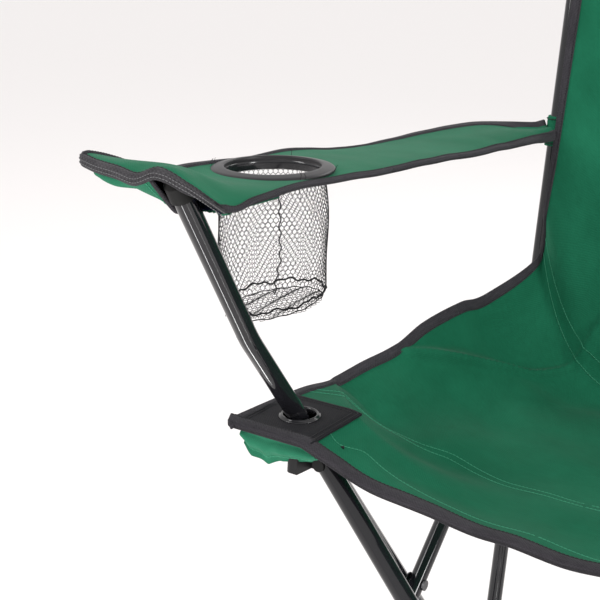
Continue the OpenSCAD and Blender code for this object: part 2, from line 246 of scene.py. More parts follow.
SEAT_GREEN = cloth("seat_canvas", (0.005, 0.090, 0.044), (0.013, 0.160, 0.083))
ARM_GREEN = cloth("arm_canvas", (0.006, 0.092, 0.045), (0.015, 0.155, 0.080), bump=0.3)
# painted light: the flap and pocket canvas is a lighter copy of the seat's green, standing in for undersides
# lit from below
LIT_FLAP_GREEN = cloth("flap_canvas", (0.018, 0.150, 0.080), (0.035, 0.220, 0.125))
TAPE = cloth(
    "binding_tape", (0.014, 0.013, 0.016), (0.050, 0.047, 0.054), thread=1.3 * MM, rough=0.8, bump=0.9,
    streak=0.6,
)
RIB_TAPE = cloth(
    "ribbed_tape", (0.006, 0.006, 0.008), (0.085, 0.082, 0.088), thread=1.6 * MM, rough=0.8, bump=1.0,
    streak=0.5,
)
PATCH_BLACK = cloth(
    "patch_canvas", (0.008, 0.008, 0.010), (0.024, 0.023, 0.027), thread=1.0 * MM, rough=0.7, bump=0.5
)
NAVY = cloth("navy_lining", (0.002, 0.008, 0.035), (0.006, 0.018, 0.075))
THREAD_GREEN = cloth("green_thread", (0.050, 0.280, 0.160), (0.090, 0.400, 0.250), thread=0.5 * MM)
THREAD_GREY = cloth("grey_thread", (0.10, 0.10, 0.105), (0.26, 0.26, 0.27), thread=0.5 * MM)
THREAD_BLACK = cloth("black_thread", (0.020, 0.020, 0.022), (0.060, 0.060, 0.065), thread=0.5 * MM)
NET_BLACK = cloth("net_string", (0.008, 0.008, 0.009), (0.030, 0.030, 0.033), thread=0.6 * MM, rough=0.8)
GLOSS_TUBE = moulded(
    "gloss_tube", (0.009, 0.009, 0.011), 0.06, 0.01, coat=0.3, size=900.0, soften=0.3 * MM, shine=0.35
)
MATTE_NYLON = moulded("matte_nylon", (0.012, 0.012, 0.013), 0.42, 0.25)
CAP_BLACK = moulded("cap_black", (0.004, 0.004, 0.004), 0.6, 0.25)
GLOSS_PLASTIC = moulded("gloss_plastic", (0.012, 0.012, 0.014), 0.2, 0.05, coat=0.4, soften=0.2 * MM)
SATIN_PLASTIC = moulded("satin_plastic", (0.022, 0.021, 0.023), 0.36, 0.12, soften=0.2 * MM)
ZINC = moulded("zinc_steel", (0.12, 0.12, 0.125), 0.34, 0.1, soften=0.4 * MM)
ZINC.node_tree.nodes["Principled BSDF"].inputs["Metallic"].default_value = 1.0


# ---------- mesh helpers
def make(name, verts, faces, material, body, uv=None, normals=None):
    """A smooth mesh that rides on a body. uv is one pair for each vertex, in metres."""
    mesh = bpy.data.meshes.new(name)
    mesh.from_pydata([tuple(v) for v in verts], [], [tuple(f) for f in faces])
    mesh.shade_smooth()
    layer = mesh.uv_layers.new(name="UVMap")
    pairs = np.array(uv if uv is not None else [(v[0] + v[2], v[1] + v[2]) for v in verts], np.float32)
    index = np.empty(len(mesh.loops), np.int32)
    mesh.loops.foreach_get("vertex_index", index)
    layer.data.foreach_set("uv", pairs[index].ravel())
    if normals is not None:
        mesh.normals_split_custom_set_from_vertices([tuple(v) for v in normals])
    mesh.materials.append(material)
    made = bpy.data.objects.new(name, mesh)
    bpy.context.scene.collection.objects.link(made)
    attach(made, body)
    return made


def lengths_along(path):
    """The length from a path's start to each of its points."""
    return np.concatenate([[0], np.cumsum(np.linalg.norm(np.diff(path, axis=0), axis=1))])


def grid_normals(grid):
    du = np.gradient(grid, axis=0)
    dv = np.gradient(grid, axis=1)
    n = np.cross(dv, du)
    return n / np.maximum(np.linalg.norm(n, axis=2, keepdims=True), 1e-12)


def grid_uv(grid):
    """Lengths along the middle row and column, in metres."""
    nu, nv = grid.shape[:2]
    u, v = lengths_along(grid[:, nv // 2]), lengths_along(grid[nu // 2])
    return np.stack(np.meshgrid(v, u), axis=-1)


def panel(name, grid, normals, uv, thick, material, body, hole=None):
    """A closed cloth shell from a grid of points. hole(point) leaves a cell out."""
    nu, nv = grid.shape[:2]
    top = (grid + normals * thick / 2).reshape(-1, 3)
    under = (grid - normals * thick / 2).reshape(-1, 3)
    count = nu * nv
    keep = np.ones((nu - 1, nv - 1), bool)
    if hole is not None:
        for i in range(nu - 1):
            for j in range(nv - 1):
                keep[i, j] = not hole(grid[i : i + 2, j : j + 2].mean(axis=(0, 1)))
    faces = []
    for i in range(nu - 1):
        for j in range(nv - 1):
            if not keep[i, j]:
                continue
            a, b, c, d = i * nv + j, i * nv + j + 1, (i + 1) * nv + j + 1, (i + 1) * nv + j
            faces.append((a, b, c, d))
            faces.append((d + count, c + count, b + count, a + count))
            beside = (i - 1, j), (i, j + 1), (i + 1, j), (i, j - 1)
            for near, (p, q) in zip(beside, ((a, b), (b, c), (c, d), (d, a))):
                inside = 0 <= near[0] < nu - 1 and 0 <= near[1] < nv - 1 and keep[near]
                if not inside:
                    faces.append((q, p, p + count, q + count))
    flat = normals.reshape(-1, 3)
    a, b, c, d = (grid[1, 1], grid[1, 2], grid[2, 2], grid[2, 1])
    if np.dot(np.cross(c - a, d - b), normals[1, 1]) < 0:
        faces = [f[::-1] for f in faces]
    uv, normals = np.concatenate([uv.reshape(-1, 2)] * 2), np.concatenate([flat, -flat])
    return make(name, np.concatenate([top, under]), faces, material, body, uv, normals)


def sweep(name, path, across, up, profile, material, body):
    """A profile, in (across, up), carried along a path of points."""
    path, across, up = (np.array(a, float) for a in (path, across, up))
    count, sides = len(path), len(profile)
    verts = [p + x * a + y * u for p, a, u in zip(path, across, up) for x, y in profile]
    step = lengths_along(path)
    girth = lengths_along(np.array(profile + profile[:1]))
    uv = [(girth[k], s) for s in step for k in range(sides)]
    faces = []
    for i in range(count - 1):
        j = i + 1
        for k in range(sides):
            m = (k + 1) % sides
            faces.append((i * sides + k, i * sides + m, j * sides + m, j * sides + k))
    faces.append(tuple(range(sides))[::-1])
    faces.append(tuple((count - 1) * sides + k for k in range(sides)))
    return make(name, verts, faces, material, body, uv=uv)


def lathe(name, at, profile, material, body, turns=96):
    """A profile of (radius, height) turned about +Z at a point."""
    verts = []
    uv = []
    for i in range(turns):
        a = 2 * math.pi * i / turns
        for r, z in profile:
            verts.append((at[0] + r * math.cos(a), at[1] + r * math.sin(a), at[2] + z))
            uv.append((r * a, z + r))
    sides = len(profile)
    faces = []
    for i in range(turns):
        j = (i + 1) % turns
        for k in range(sides):
            m = (k + 1) % sides
            faces.append((i * sides + k, j * sides + k, j * sides + m, i * sides + m))
    return make(name, verts, faces, material, body, uv=uv)


def strings(name, edges, radius, material, body, sides=4):
    """Straight strings between pairs of points, each a slim prism."""
    verts, faces, uv = [], [], []
    for a, b in edges:
        a, b = np.array(a), np.array(b)
        d = b - a
        long = np.linalg.norm(d)
        if long < 1e-6:
            continue
        d = d / long
        side = np.cross(d, (0.0, 0.0, 1.0) if abs(d[2]) < 0.9 else (1.0, 0.0, 0.0))
        side /= np.linalg.norm(side)
        up = np.cross(d, side)
        base = len(verts)
        for end, far in ((a - d * radius * 0.5, 0.0), (b + d * radius * 0.5, long)):
            for k in range(sides):
                t = 2 * math.pi * k / sides
                verts.append(end + radius * (math.cos(t) * side + math.sin(t) * up))
                uv.append((k * radius, far))
        for k in range(sides):
            m = (k + 1) % sides
            faces.append((base + k, base + m, base + sides + m, base + sides + k))
        faces.append(tuple(base + k for k in range(sides))[::-1])
        faces.append(tuple(base + sides + k for k in range(sides)))
    return make(name, verts, faces, material, body, uv=uv)


def stitches(name, path, normals, material, body, pitch=3.4 * MM, gap=0.9 * MM, radius=0.42 * MM):
    """A row of machine stitches along a path that lies on cloth."""
    path, normals = np.array(path), np.array(normals)
    step = lengths_along(path)

    def at(s):
        return np.array([np.interp(s, step, path[:, k]) for k in range(3)])

    def out(s):
        v = np.array([np.interp(s, step, normals[:, k]) for k in range(3)])
        return v / np.linalg.norm(v)

    edges = []
    s = 0.0
    while s + pitch < step[-1]:
        a, b = s + gap / 2, s + pitch - gap / 2
        lift = radius * 0.75
        mid = (a + b) / 2
        edges.append((at(a) + out(a) * lift * 0.3, at(mid) + out(mid) * lift))
        edges.append((at(mid) + out(mid) * lift, at(b) + out(b) * lift * 0.3))
        s += pitch
    return strings(name, edges, radius, material, body, sides=5)


def tape_profile(reach, thick, proud=1.2 * MM):
    """Cross-section of tape folded over an edge: across is inwards, up is the cloth's normal."""
    half = thick / 2
    return [
        (-proud, 0.0),
        (-proud * 0.7, half * 0.75),
        (0.0, half),
        (reach * 0.5, half * 1.04),
        (reach * 0.93, half),
        (reach, half * 0.6),
        (reach, -half * 0.6),
        (reach * 0.93, -half),
        (reach * 0.5, -half * 1.04),
        (0.0, -half),
        (-proud * 0.7, -half * 0.75),
    ]


# ---------- camera, floor and lights
def set_camera():
    data = bpy.data.cameras.new("camera")
    data.lens = 73.3
    data.sensor_width = 36.0
    data.clip_start = 0.05
    camera = bpy.data.objects.new("camera", data)
    turn, tilt = math.radians(35.4), math.radians(17.4)
    camera.location = Vector(grommet) + Vector((0.531, -0.747, 0.387))
    camera.rotation_euler = (math.pi / 2 - tilt, 0, turn)
    bpy.context.scene.collection.objects.link(camera)
    bpy.context.scene.camera = camera


def set_stage():
    reach = 60.0
    verts = [(-reach, -reach, 0), (reach, -reach, 0), (reach, reach, 0), (-reach, reach, 0)]
    mesh = bpy.data.meshes.new("floor")
    mesh.from_pydata(verts, [], [(0, 1, 2, 3)])
    m, n, l, shader = new_material("pale_floor")
    shader.inputs["Base Color"].default_value = (0.80, 0.78, 0.775, 1)
    shader.inputs["Emission Color"].default_value = (1.0, 0.975, 0.97, 1)
    shader.inputs["Emission Strength"].default_value = 0.13
    shader.inputs["Roughness"].default_value = 0.9
    mesh.materials.append(m)
    floor = bpy.data.objects.new("floor", mesh)
    bpy.context.scene.collection.objects.link(floor)
    world = bpy.data.worlds.new("studio")
    world.use_nodes = True
    world.node_tree.nodes["Background"].inputs[0].default_value = (1.0, 0.985, 0.98, 1)
    world.node_tree.nodes["Background"].inputs[1].default_value = 0.95
    bpy.context.scene.view_settings.view_transform = "Standard"
    bpy.context.scene.world = world


def softbox(name, at, towards, size, power):
    data = bpy.data.lights.new(name, "AREA")
    data.shape = "RECTANGLE"
    data.size, data.size_y = size
    data.energy = power
    light = bpy.data.objects.new(name, data)
    light.location = at
    light.rotation_euler = (Vector(towards) - Vector(at)).to_track_quat("-Z", "Y").to_euler()
    bpy.context.scene.collection.objects.link(light)


set_camera()
set_stage()
softbox("key", (-1.5, -1.7, 2.1), (0, 0, 0.5), (0.7, 1.6), 26)
softbox("fill", (2.3, -0.3, 1.15), (0, 0, 0.5), (0.5, 1.5), 38)
softbox("back", (0.4, 2.4, 2.2), (0, 0, 0.5), (1.8, 1.0), 20)
# low strips in front of the chair, which draw the bright lines along the leaning tubes
softbox("low_strip", (-0.240, -0.47, 0.004), (-0.220, -0.468, 1.0), (0.42, 0.045), 1.1)
softbox("low_line", (0.22, -0.28, 0.004), (0.204, -0.292, 1.0), (0.46, 0.02), 0.3)

# ---------- the sling: seat, sides and back in one grid
CLOTH = 1.6 * MM
edge_x = tube_x + 45 * MM
front_y = grommet[1] - 41 * MM
TOP_Z = post_high[2] - 6 * MM
TURN = 0.5


def from_patch(v, x, y, z):
    """A sling point, with x from the tube, y from the grommet and z from the patch, in mm."""
    return (v, tube_x + x * MM, grommet[1] + y * MM, patch_z - 1.2 * MM + z * MM)


def on_post(v, z, inset, fore):
    return (v, post_x - inset * MM, post_y(z) - fore * MM, z)


SIDE = [
    from_patch(0.0, 45, -41, 0),
    from_patch(0.09, 38, 38, 0),
    from_patch(0.15, 33, 88, -2),
    from_patch(0.21, 28, 140, 1),
    from_patch(0.28, 23, 192, 4),
    from_patch(0.33, 17, 228, 16),
    from_patch(0.40, 8, 284, 23),
    from_patch(0.45, 2, 330, 22),
    on_post(TURN, 0.492, 3, 10),
    on_post(0.56, 0.545, 3, 10),
    on_post(0.75, 0.690, 3, 10),
    on_post(1.0, TOP_Z, 3, 9),
]
MIDDLE = [
    (0.0, 0, grommet[1] - 22 * MM, patch_z - 46 * MM),
    (0.10, 0, grommet[1] + 50 * MM, patch_z - 57 * MM),
    (0.28, 0, grommet[1] + 180 * MM, patch_z - 66 * MM),
    (0.42, 0, crease[1] - 50 * MM, crease[2] + 3 * MM),
    (TURN, 0, crease[1], crease[2] + 2 * MM),
    (0.55, 0, crease[1] + 26 * MM, crease[2] + 42 * MM),
    (0.64, 0, post_y(0.50) + 2 * MM, 0.500),
    (0.80, 0, post_y(0.66) + 16 * MM, 0.660),
    (1.0, 0, post_y(TOP_Z) + 2 * MM, TOP_Z - 14 * MM),
]
SPLIT = 0.39


def sling_point(u, v):
    """u runs from the right side, -1, to the left side, 1. v runs from the front edge to the back's top."""
    side, mid = along(SIDE, v), along(MIDDLE, v)
    t = abs(u)
    level = np.interp(v, [0, 0.085, 0.16], [0.70, 0.72, 1.0])
    power = np.interp(v, [0, 0.1, 0.3, 0.5, 0.62, 0.8, 1.0], [2.2, 2.4, 3.6, 3.2, 2.2, 2.2, 2.2])
    w = min(t / level, 1.0) ** power
    p = mid + (side - mid) * w
    p[0] = math.copysign(side[0] * t, u) if u else 0.0
    return p


def round_corner(x, y):
    """Carries the sling's square front corner onto a round one."""
    radius = 7 * MM
    a, b = x - (edge_x - radius), (front_y + radius) - y
    if a <= 0 or b <= 0:
        return x, y
    scale = max(a, b) / math.hypot(a, b)
    return edge_x - radius + a * scale, front_y + radius - b * scale


def sling_folds(p, u, v):
    """How far the canvas stands off its tight shape, along its normal."""
    t = abs(u)
    reach = math.hypot(abs(p[0]) - tube_x, p[1] - grommet[1])
    off_patch = smooth(0.058, 0.10, reach)
    angle = math.atan2(p[1] - grommet[1], tube_x - abs(p[0]))
    rays = math.sin(angle * 11 + 1.2 * u) * smooth(0.055, 0.11, reach) * (1 - smooth(0.15, 0.33, reach))
    seat = 1 - smooth(0.46, 0.54, v)
    d = 2.0 * rays * seat
    d += seat * off_patch * (4.6 * ripple(p, 0.11, 3.1) + 1.9 * ripple(p, 0.045, 7.7))
    slump = math.sin((p[0] * 38 + v * 30)) * smooth(0.30, 0.5, v) * (1 - smooth(0.52, 0.66, v))
    d += 1.6 * slump * (1 - t**4)
    back = smooth(0.54, 0.62, v)
    d += back * (2.6 * ripple((p[0], 0, p[2] * 0.6), 0.16, 5.3) + 0.8 * ripple(p, 0.05, 1.9)) * (1 - t**6)
    fold = 0.28 + 0.63 * (0.975 - t)
    d -= 7.0 * math.exp(-(((v - fold) / 0.012) ** 2)) * smooth(0.40, 0.60, t) * (1 - smooth(0.94, 1.0, t))
    raised = 9.0 * smooth(fold, fold + 0.05, v) * (1 - smooth(0.42, 0.5, v))
    d += raised * smooth(0.45, 0.65, t) * (1 - smooth(0.9, 1, t))
    d += 1.0 * math.sin(p[2] * 160 + 2 * u) * smooth(0.90, 1.0, t) * smooth(0.14, 0.2, v) * seat
    return d * MM


NU, NV = 151, 271
u_steps = np.linspace(-1, 1, NU)
u_steps = np.sign(u_steps) * (1 - (1 - np.abs(u_steps)) ** 1.15)
v_steps = np.linspace(0, 1, NV)
tight = np.array([[sling_point(u, v) for v in v_steps] for u in u_steps])
tight_normals = grid_normals(tight)
for i in range(NU):
    for j in range(NV):
        x, y = round_corner(abs(tight[i, j, 0]), tight[i, j, 1])
        tight[i, j, :2] = math.copysign(x, tight[i, j, 0]), y
stand = np.array([[sling_folds(tight[i, j], u_steps[i], v_steps[j]) for j in range(NV)] for i in range(NU)])
sling = tight + tight_normals * stand[..., None]
sling_normals = -grid_normals(sling)
sling_uv = grid_uv(sling)
rows = {
    "seat_front": (0, int(SPLIT * (NV - 1))),
    "seat_rear": (int(SPLIT * (NV - 1)), int(TURN * (NV - 1))),
    "back_post_left": (int(TURN * (NV - 1)), NV - 1),
}
STANDS_FOR = {
    "seat_front": ["seat_front_panel", "side_wing_left", "side_wing_right"],
    "seat_rear": ["seat_rear_panel"],
    "back_post_left": ["back_panel"],
}
NAMES = {"seat_front": "sling_seat", "seat_rear": "sling_seat_rear", "back_post_left": "sling_back"}


def fold_across(piece):
    """Gives the piece its own copy of its mesh."""
    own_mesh(piece)


def bind(name, line, normals, inward, body, material=TAPE, reach=9 * MM, thick=3.4 * MM):
    line, normals, inward = (np.array(a) for a in (line, normals, inward))
    piece = sweep(name, line, inward, normals, tape_profile(reach, thick), material, body)
    rim, half = line + inward * (reach - 1.3 * MM), normals * thick / 2
    top = stitches(name + "_stitch_top", rim + half, normals, THREAD_BLACK, body)
    under = stitches(name + "_stitch_under", rim - half, -normals, THREAD_BLACK, body)
    return [piece, top, under]


def unit(a):
    a = np.array(a, float)
    return a / np.maximum(np.linalg.norm(a, axis=-1, keepdims=True), 1e-12)


def on_grommet(p):
    return math.hypot(abs(p[0]) - tube_x, p[1] - grommet[1]) < GROMMET_HOLE


for body, (first, last) in rows.items():
    part = slice(first, last + 1)
    piece = panel(
        NAMES[body], sling[:, part], sling_normals[:, part], sling_uv[:, part], CLOTH, SEAT_GREEN, body,
        on_grommet if body == "seat_front" else None,
    )
    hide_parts(*STANDS_FOR[body])
    fold_across(piece)
    for side, i, k in (("right", 0, 1), ("left", NU - 1, NU - 2)):
        line = sling[i, part]
        inward = unit(sling[k, part] - line)
        for tape in bind(
            "bind_%s_%s" % (NAMES[body], side), line, sling_normals[i, part], inward, body,
            TAPE, 10 * MM, 4.6 * MM,
        ):
            fold_across(tape)
front_line = sling[:, 0]
for tape in bind(
    "bind_seat_front", front_line, sling_normals[:, 0], unit(sling[:, 1] - sling[:, 0]), "seat_front",
    TAPE, 12 * MM, 6 * MM,
):
    fold_across(tape)
back_line = sling[:, -1]
for tape in bind(
    "bind_back_top", back_line, sling_normals[:, -1], unit(sling[:, -2] - sling[:, -1]), "back_post_left",
):
    fold_across(tape)


# ---------- armrests
ARM_FRONT = tip[1] - 18 * MM
ARM_REAR = post_y(0.62) - 2 * MM
ring_z = ring_at[2]
TIP_BAND = 6.5 * MM


def arm_key(y, inner_x, inner_z, middle_z, outer_x, outer_z):
    """One station of the armrest: y from the grommet, z from the ring's seat, x from the tube, in mm."""
    return (y, inner_x, inner_z, middle_z, outer_x, outer_z)


ARM_STATIONS = [
    arm_key(-160, -17, 21, 29, 77, 35),
    arm_key(-142, -20, 12, 28, 81, 31),
    arm_key(-116, -26, -2, 22, 85, 22),
    arm_key(-88, -26, 0, 10, 86, 12),
    arm_key(-60, -26, 1, 3, 86, 5),
    arm_key(-32, -26, 1, 0.5, 86, 3),
    arm_key(6, -26, -2, 0, 86, 0),
    arm_key(50, -26, -5, -0.5, 86, -4),
    arm_key(108, -26, -9, -6, 86, -6),
    arm_key(180, -26, -13, -11, 84, -16),
    arm_key(240, -25, -17, -14, 78, -17),
    arm_key(310, -24, -22, -15, 62, -14),
    arm_key(375, -22, -26, -17, 44, -13),
    arm_key(432, -12, -34, -24, 6, -17),
]


def arm_front_y(b):
    """Where the armrest's front edge lies, across from its inner side, -1, to its outer side, 1."""
    keys = [(-1.0, 36), (-0.93, 20), (-0.82, 8), (-0.66, 1), (-0.3, 0), (0.6, 0), (0.88, 3), (1.0, 10)]
    return ARM_FRONT + between(keys, b) * MM


def arm_point(b, a):
    """b across, from -1 inside to 1 outside; a along, from 0 at the front to 1 at the post. x is outwards."""
    y = arm_front_y(b) + (ARM_REAR - arm_front_y(b)) * a
    inner_x, inner_z, middle_z, outer_x, outer_z = along(ARM_STATIONS, (y - grommet[1]) / MM)
    s = (b + 1) / 2
    x = inner_x + (outer_x - inner_x) * s
    edge = inner_z if b < 0 else outer_z
    z = middle_z + (edge - middle_z) * abs(b) ** 2.4
    hump = math.exp(-(((x - 0) / 11) ** 2)) * (1 - smooth(10, 42, (y - ARM_FRONT) / MM)) * 4.5
    dip = math.exp(-(((x - 22) / 12) ** 2)) * (1 - smooth(6, 34, (y - ARM_FRONT) / MM)) * 4
    lip = 1 - smooth(0, 1, a * (ARM_REAR - ARM_FRONT) / (9 * MM))
    return np.array([tube_x + x * MM, y, ring_z + (z + hump - dip) * MM - lip * 1.5 * MM])


def arm_folds(p, b, a):
    from_ring = math.hypot(p[0] - abs(ring_at[0]), p[1] - ring_at[1])
    calm = smooth(0.050, 0.075, from_ring)
    d = calm * (1.6 * ripple(p, 0.09, 2.2) + 0.8 * ripple(p, 0.035, 9.1))
    d += 1.8 * math.sin(p[0] * 120) * smooth(0.78, 1.0, a) * (1 - abs(b) ** 3)
    return d * MM


NA, NB = 161, 61
a_steps = np.linspace(0, 1, NA) ** 1.25
b_steps = np.linspace(-1, 1, NB)
arm_tight = np.array([[arm_point(b, a) for a in a_steps] for b in b_steps])
arm_n = grid_normals(arm_tight)
arm_stand = np.array(
    [[arm_folds(arm_tight[i, j], b_steps[i], a_steps[j]) for j in range(NA)] for i in range(NB)]
)
arm = arm_tight + arm_n * arm_stand[..., None]
arm_n = grid_normals(arm)
if arm_n[NB // 2, NA // 2][2] < 0:
    arm_n = -arm_n
arm_uv = grid_uv(arm)
arm_cut = int(np.searchsorted(arm[NB // 2, :, 1], ring_at[1] + ARM_JOIN))


def side_of(points, s):
    return np.array(points) * (s, 1, 1)


def tip_band(side, s, line, body):
    """The ribbed tape that stands across the armrest's front, with its rows of stitches."""
    down = np.tile([0, 0, -1.0], (len(line), 1))
    forward = unit(np.cross(np.gradient(line, axis=0), down)) * s * -1
    if forward[len(line) // 2, 1] > 0:
        forward = -forward
    ends = np.minimum(np.arange(len(line)), np.arange(len(line))[::-1])
    taper = (0.35 + 0.65 * smooth(0, 5, ends))[:, None]
    profile = tape_profile(TIP_BAND, 3.2 * MM, 1.6 * MM)
    band = sweep("tip_band_" + side, line, down * taper, forward, profile, RIB_TAPE, body)
    pieces = [band]
    for k, reach in enumerate((1.6 * MM, TIP_BAND - 2.2 * MM)):
        path, name = line + down * reach + forward * 1.65 * MM, "tip_stitch_%d_%s" % (k, side)
        row = stitches(name, path, forward, THREAD_GREY, body, 2.4 * MM, 1.1 * MM, 0.34 * MM)
        pieces.append(row)
    return pieces


def on_ring(p):
    return math.hypot(p[0] - ring_at[0], p[1] - ring_at[1]) < RING_HOLE


for side, s in (("right", -1), ("left", 1)):
    body = "arm_" + side
    made = []
    for name, part, keep in (("front", slice(0, arm_cut + 1), None), ("rear", slice(arm_cut, NA), 0.2)):
        grid, normals = side_of(arm[:, part], s), side_of(arm_n[:, part], s)
        hole = on_ring if side == "right" and name == "front" else None
        piece = panel(
            "armrest_%s_%s" % (side, name), grid, normals, arm_uv[:, part], CLOTH * 1.4, ARM_GREEN, body,
            hole,
        )
        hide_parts("arm_%s_%s" % (side, name))
        pieces = [piece]
        for edge, i, k in (("inner", 0, 1), ("outer", NB - 1, NB - 2)):
            inward = unit(grid[k] - grid[i])
            pieces += bind(
                "bind_arm_%s_%s_%s" % (side, name, edge), grid[i], normals[i], inward, body,
                TAPE, 10 * MM, 4.4 * MM,
            )
        if name == "front":
            inward = unit(grid[:, 1] - grid[:, 0])
            pieces += bind(
                "bind_arm_%s_tip" % side, grid[:, 0], normals[:, 0], inward, body, RIB_TAPE,
                4 * MM,
            )
            pieces += tip_band(side, s, grid[:, 0], body)
        if keep:
            for p in pieces:
                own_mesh(p)
        made += pieces

# ---------- seams on the sling
def on_sling(u, v):
    """The sling's upper surface and its normal at u, v."""
    i, j = np.interp(u, u_steps, range(NU)), np.interp(v, v_steps, range(NV))
    i0, j0 = min(int(i), NU - 2), min(int(j), NV - 2)
    a, b = i - i0, j - j0

    def blend(g):
        near = g[i0, j0] * (1 - a) + g[i0 + 1, j0] * a
        far = g[i0, j0 + 1] * (1 - a) + g[i0 + 1, j0 + 1] * a
        return near * (1 - b) + far * b

    n = unit(blend(sling_normals))
    return blend(sling) + n * CLOTH / 2, n


def seam(name, keys, shift=0.0, side=1, body="seat_front"):
    """A row of stitches along (u, v) keys of the sling's right half, or its mirror image."""
    places = []
    for t in np.linspace(keys[0][0], keys[-1][0], 240):
        u, v = along([(k[0], k[0], k[1]) for k in keys], t)
        places.append(on_sling(u * side, v + shift))
    line, out = [q[0] for q in places], [q[1] for q in places]
    fold_across(stitches(name, line, out, THREAD_GREEN, body, radius=0.36 * MM))


LONG_SEAM = [
    (-0.995, 0.104), (-0.89, 0.115), (-0.83, 0.122), (-0.76, 0.14), (-0.63, 0.15), (-0.5, 0.168),
    (-0.3, 0.163), (0, 0.166),
]
HEM_SEAM = [
    (-0.76, 0.046), (-0.70, 0.038), (-0.65, 0.033), (-0.60, 0.047), (-0.53, 0.044), (-0.4, 0.04),
    (0, 0.042),
]
for side, mirror in (("right", 1), ("left", -1)):
    seam("seat_seam_a_" + side, LONG_SEAM, 0.0, mirror)
    seam("seat_seam_b_" + side, LONG_SEAM, 0.011, mirror)
    seam("seat_hem_" + side, HEM_SEAM, 0.0, mirror)
    for name, v in (("crease_seam_", 0.512), ("back_seam_low_", 0.530), ("back_seam_high_", 0.965)):
        seam(name + side, [(-0.985, v), (-0.5, v), (0, v)], 0.0, mirror, body="back_post_left")


# ---------- corner patches, their grommets and the flap below
def flat_patch(x, y):
    """The patch lies on the seat; its inner corners turn down with the canvas."""
    x, y = round_corner(x, y)
    inner = smooth(24 * MM, 42 * MM, tube_x - x)
    return np.array(
        [x, y, patch_z + 0.5 * MM - inner * 2.2 * MM + 0.25 * MM * ripple((x, y, 0), 0.02, 4.4)]
    )


def corner_patch(side, s):
    body = "arm_tube_" + side
    steps = np.linspace(-1, 1, 61)
    half = 38 * MM
    cut = 0.955
    grid = np.array(
        [[flat_patch(tube_x + half * cut * a, grommet[1] + half * cut * b) for b in steps] for a in steps]
    )
    grid = side_of(grid, s)
    n = grid_normals(grid)
    n = n * np.sign(n[30, 30, 2])
    piece = panel(
        "patch_" + side, grid, n, grid_uv(grid), 1.6 * MM, PATCH_BLACK, body, on_grommet
    )
    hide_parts("seat_patch_" + side)
    ring = [(-1, -1), (1, -1), (1, 1), (-1, 1), (-1, -1)]
    for k, reach in enumerate((34.2, 30.6)):
        path, out = [], []
        for (x0, y0), (x1, y1) in zip(ring, ring[1:]):
            for t in np.linspace(0, 1, 24, endpoint=False):
                x, y = x0 + (x1 - x0) * t, y0 + (y1 - y0) * t
                q = flat_patch(tube_x + x * reach * MM, grommet[1] + y * reach * MM)
                path.append((q + (0, 0, 0.8 * MM)) * (s, 1, 1))
                out.append((0, 0, 1))
        path.append(path[0])
        out.append(out[0])
        row = "patch_stitch_%d_%s" % (k, side)
        stitches(row, path, out, THREAD_BLACK, body, pitch=2.6 * MM, radius=0.4 * MM)
    up = np.tile([0, 0, 1.0], (30, 1))
    hem = tape_profile(2.6 * MM, 2.0 * MM, 0.4 * MM)
    along_edge = half * cut * np.linspace(-1, 1, 30)
    rear = [flat_patch(tube_x + x, grommet[1] + half * cut) for x in along_edge]
    inner = [flat_patch(tube_x - half * cut, grommet[1] + y) for y in along_edge]
    for name, edge, inward in (("rear", rear, (0, -1.0, 0)), ("inner", inner, (s, 0, 0))):
        line, across = side_of(edge, s), np.tile(inward, (30, 1))
        sweep("patch_%s_fold_%s" % (name, side), line, across, up, hem, PATCH_BLACK, body)


def under_patch(side, s):
    """A second layer below the patch, dished, with its own hole where the tube comes through lower down."""
    steps = np.linspace(-1, 1, 49)
    dish = 13.0
    lean = dish * MM * math.tan(ARM_LEAN)
    rows_of = []
    for a in steps:
        rows_of.append([])
        for b in steps:
            rim = max(abs(a), abs(b))
            z = patch_z - (3.0 + dish * (1 - rim**4)) * MM
            rows_of[-1].append((tube_x + 31 * MM * a, grommet[1] + 31 * MM * b, z))
    grid = side_of(rows_of, s)
    n = grid_normals(grid)
    n = n * np.sign(n[24, 24, 2])

    def tube_hole(p):
        return math.hypot(abs(p[0]) - tube_x, p[1] - grommet[1] - lean) < 11.5 * MM

    piece = panel(
        "under_patch_" + side, grid, n, grid_uv(grid), 1.2 * MM, PATCH_BLACK, "arm_tube_" + side,
        tube_hole,
    )


GROMMET_PROFILE = [
    (13.4, -2.6), (13.4, 0.8), (13.6, 1.9), (14.2, 2.6), (15.0, 2.7), (15.7, 2.1), (16.2, 1.4),
    (16.9, 1.2), (17.3, 0.8), (17.4, 0.3), (17.1, 0.0), (14.4, 0.0), (14.2, -2.6),
]


def round_profile(points):
    return [(r * MM, z * MM) for r, z in points]


for side, s in (("right", -1), ("left", 1)):
    corner_patch(side, s)
    under_patch(side, s)
    at = (s * tube_x, grommet[1], patch_z + 1.2 * MM)
    piece = lathe(
        "grommet_" + side, at, round_profile(GROMMET_PROFILE), GLOSS_PLASTIC, "arm_tube_" + side,
    )
    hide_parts("seat_grommet_" + side)

